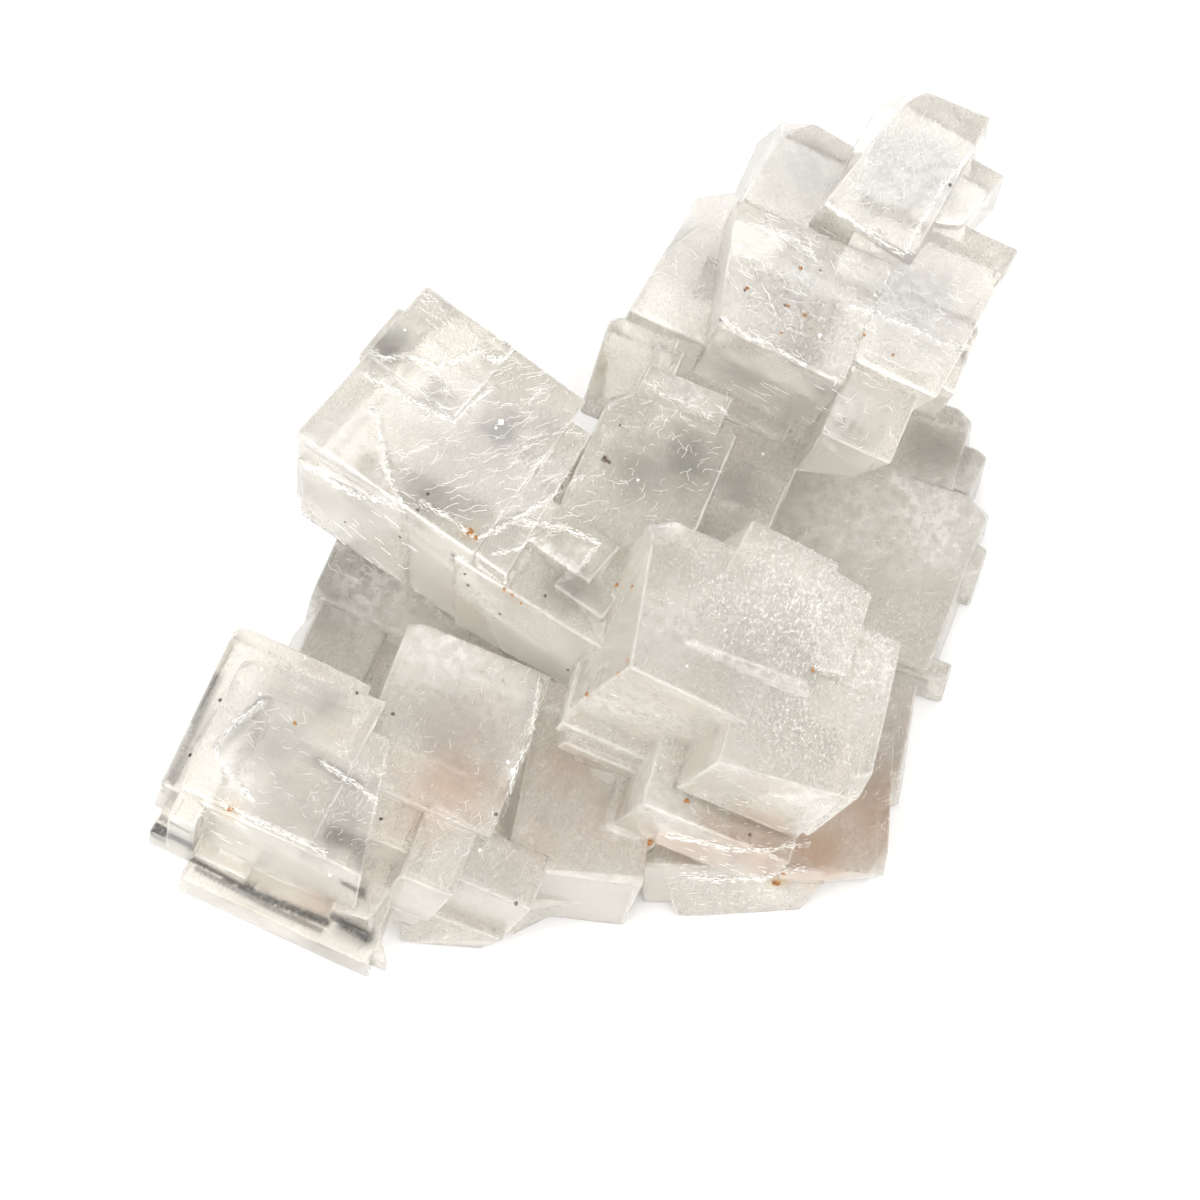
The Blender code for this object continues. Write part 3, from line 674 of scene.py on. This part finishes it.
# A few seed cubes stand on the faces, set nearly on the lattice.
for x, y, side in SEED_CUBES:
    hit, _ = seen(rough_faces, x, y)
    if hit:
        twist = Matrix.Rotation(rng.uniform(-SEED_TURN, SEED_TURN), 4, "Z")
        stood = Matrix.Translation(hit) @ lattice.to_4x4() @ twist
        bmesh.ops.create_cube(ridges_bm, size=side * MM, matrix=stood)
for vert in ridges_bm.verts:
    vert.co = [min(max(vert.co[k], low[k]), high[k]) for k in range(3)]
ridges_mesh = bpy.data.meshes.new("etch_ridges")
ridges_bm.to_mesh(ridges_mesh)
ridges_bm.free()
ridges = bpy.data.objects.new("etch_ridges", ridges_mesh)
bpy.context.scene.collection.objects.link(ridges)

DULL_WHITE = (0.90, 0.89, 0.86, 1.0)
FRESH_PATCH = 2.0 * MM  # from one whiter stretch to the next
FRESH_ROUGHNESS = (0.3, 0.7, 0.15, 0.4)  # noise where it starts and is full, least, most
fresh_salt = bpy.data.materials.new("fresh white salt")
fresh_salt.use_nodes = True
fresh = fresh_salt.node_tree
fresh_shader = fresh.nodes["Principled BSDF"]
fresh_shader.inputs["IOR"].default_value = HALITE_IOR
fresh_place = grow(fresh, "TexCoord", {}).outputs["Object"]
fresh_patches = grow(fresh, "TexNoise", {"Vector": fresh_place, "Scale": 1 / FRESH_PATCH})
fresh_noise = fresh_patches.outputs["Fac"]
fresh_colour = tinted(fresh, fresh_noise, WHITE, DULL_WHITE)
fresh.links.new(fresh_colour, fresh_shader.inputs["Base Color"])
fresh_roughness = ramped(fresh, fresh_noise, *FRESH_ROUGHNESS)
fresh.links.new(fresh_roughness, fresh_shader.inputs["Roughness"])
ridges_mesh.materials.append(fresh_salt)
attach(ridges, "root")

# ---------------------------------------------------------------------------------------------
# The grains. Specks of rust-brown iron clay and of dark mud, a fraction of a mm across, that the
# salt grew around, so each one sits half sunk in a face.
# ---------------------------------------------------------------------------------------------

# (x, y, size in mm)
RUST_GRAINS = (
    (21.2, -7.0, 0.75), (8.7, -20.1, 0.65), (17.6, -28.3, 0.9), (18.4, -27.4, 0.6),
    (-13.0, 6.8, 0.8), (-12.4, 6.2, 0.5), (-9.6, 1.1, 0.5), (-8.8, 0.5, 0.45), (-7.9, -0.3, 0.4),
    (20.5, 28.5, 0.5), (18.8, 29.4, 0.4), (20.1, 33.2, 0.4), (14.7, 31.2, 0.45), (18.1, 26.7, 0.4),
    (26.4, 26.5, 0.45), (29.3, 24.5, 0.4), (-30.5, -12.3, 0.5), (-37.0, -21.0, 0.6),
    (5.0, -24.3, 0.6), (1.7, 1.5, 0.5), (3.2, 1.3, 0.45), (2.7, -6.0, 0.4), (1.8, -7.3, 0.4),
    (-1.3, -9.5, 0.5), (-23.6, 25.9, 0.5),
)
MUD_GRAINS = (
    (0.5, 14.1, 0.75), (0.9, 13.8, 0.5), (-25.5, 7.8, 0.35), (-20.0, 6.3, 0.4), (-18.2, 9.0, 0.4),
    (-13.5, 2.6, 0.35), (-13.2, 1.5, 0.4), (-5.5, 0.4, 0.35), (-10.0, -1.4, 0.35),
    (2.0, 17.5, 0.35), (-3.2, -7.0, 0.35), (15.0, -23.5, 0.4), (-24.3, -9.3, 0.35),
    (-20.7, -11.4, 0.4), (-21.9, -21.9, 0.4), (-10.4, -21.4, 0.45), (-8.4, -30.4, 0.5),
    (-38.0, -10.0, 0.4), (-41.0, -15.5, 0.4), (-17.2, 10.6, 0.45), (18.5, 29.5, 0.35),
    (14.5, 31.0, 0.35), (22.0, 33.0, 0.35), (35.0, 41.5, 0.35), (12.0, 28.0, 0.3),
)
SINK = 0.25  # share of a grain's size that its middle lies below the face
GRAIN_RADII = (0.40, 0.60)  # its radii, as shares of its size
LUMPINESS = 0.5
LUMP_LENGTH = 0.12 * MM
SPECKLE = 0.25 * MM
SPECKLE_EDGE = (0.35, 0.65)
CLAY_ROUGHNESS = 0.8
RUST = (0.24, 0.09, 0.03, 1.0)
PALE_RUST = (0.48, 0.23, 0.07, 1.0)
MUD = (0.05, 0.035, 0.03, 1.0)
PALE_MUD = (0.20, 0.14, 0.11, 1.0)


def set_in(name, grains, tone, pale_tone):
    """A piece of small lumps, each half sunk in the crystal, of clay in these two colours."""
    grains_bm = bmesh.new()
    for x, y, size in grains:
        hit, normal = seen(rough_faces, x, y)
        if not hit:
            continue
        shape = Matrix.Diagonal((*(rng.uniform(*GRAIN_RADII) * size * MM for _ in range(3)), 1.0))
        angle = rng.uniform(0.0, math.tau)
        spin = Matrix.Rotation(angle, 4, Vector((rng.random(), rng.random(), 1.0)))
        middle = Matrix.Translation(hit - normal * SINK * size * MM)
        placed = middle @ spin @ shape
        lump = bmesh.ops.create_icosphere(grains_bm, subdivisions=2, radius=1.0, matrix=placed)
        for vert in lump["verts"]:
            bulge = LUMPINESS * noise.noise(vert.co / LUMP_LENGTH)
            vert.co += (vert.co - middle.translation) * bulge
    for vert in grains_bm.verts:
        vert.co = [min(max(vert.co[k], low[k]), high[k]) for k in range(3)]
    mesh = bpy.data.meshes.new(name)
    grains_bm.to_mesh(mesh)
    grains_bm.free()
    piece = bpy.data.objects.new(name, mesh)
    bpy.context.scene.collection.objects.link(piece)
    clay = bpy.data.materials.new(name + " clay")
    clay.use_nodes = True
    earth = clay.node_tree
    clay_shader = earth.nodes["Principled BSDF"]
    clay_place = grow(earth, "TexCoord", {}).outputs["Object"]
    speckle = grow(earth, "TexNoise", {"Vector": clay_place, "Scale": 1 / SPECKLE}).outputs["Fac"]
    clay_colour = tinted(earth, ramped(earth, speckle, *SPECKLE_EDGE), tone, pale_tone)
    earth.links.new(clay_colour, clay_shader.inputs["Base Color"])
    clay_shader.inputs["Roughness"].default_value = CLAY_ROUGHNESS
    mesh.materials.append(clay)
    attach(piece, "root")


set_in("rust_grains", RUST_GRAINS, RUST, PALE_RUST)
set_in("mud_grains", MUD_GRAINS, MUD, PALE_MUD)

# ---------------------------------------------------------------------------------------------
# The table and the light. A pale matt top in a bright room of white cloth, brighter from the front
# left, with one soft glow high to the right, which draws the glints along the steps.
# ---------------------------------------------------------------------------------------------

TABLE_SIDE = 3.0  # metres
TABLE_DROP = 0.2 * MM  # below the foot
TABLE_COLOUR = (0.96, 0.96, 0.96, 1.0)
TABLE_ROUGHNESS = 0.9
ROOM_COLOUR = (1.0, 1.0, 1.0, 1.0)
ROOM_LIGHT = 1.02
# (where the light comes from, cosines off that direction where it starts and is full, what it adds)
SOFT_LIGHTS = (
    ((-0.50, -0.85, 0.12), 0.0, 1.0, 1.6),
    ((0.29, -0.24, 0.82), 0.93, 0.99, 1.8),
)

table_bm = bmesh.new()
bmesh.ops.create_grid(table_bm, x_segments=1, y_segments=1, size=TABLE_SIDE / 2)
bmesh.ops.translate(table_bm, verts=table_bm.verts[:], vec=(0.0, 0.0, -TABLE_DROP))
table_mesh = bpy.data.meshes.new("table_top")
table_bm.to_mesh(table_mesh)
table_bm.free()
table = bpy.data.objects.new("table_top", table_mesh)
bpy.context.scene.collection.objects.link(table)
pale = bpy.data.materials.new("pale table")
pale.use_nodes = True
pale_shader = pale.node_tree.nodes["Principled BSDF"]
pale_shader.inputs["Base Color"].default_value = TABLE_COLOUR
pale_shader.inputs["Roughness"].default_value = TABLE_ROUGHNESS
table_mesh.materials.append(pale)

room = bpy.data.worlds.new("white room")
bpy.context.scene.world = room
room.use_nodes = True
backdrop = room.node_tree.nodes["Background"]
backdrop.inputs["Color"].default_value = ROOM_COLOUR
inward = grow(room.node_tree, "NewGeometry", {}).outputs["Normal"]
strength = ROOM_LIGHT
for source, start, full, added in SOFT_LIGHTS:
    outward = -Vector(source).normalized()
    facing = grow(room.node_tree, "VectorMath", {0: inward, 1: outward}, operation="DOT_PRODUCT")
    glow = ramped(room.node_tree, facing.outputs["Value"], start, full, 0.0, added)
    strength = mathed(room.node_tree, "ADD", strength, glow)
room.node_tree.links.new(strength, backdrop.inputs["Strength"])
room.cycles.sampling_method = "NONE"  # the glow is so broad that aimed samples only cost time
bpy.context.scene.view_settings.view_transform = "Standard"
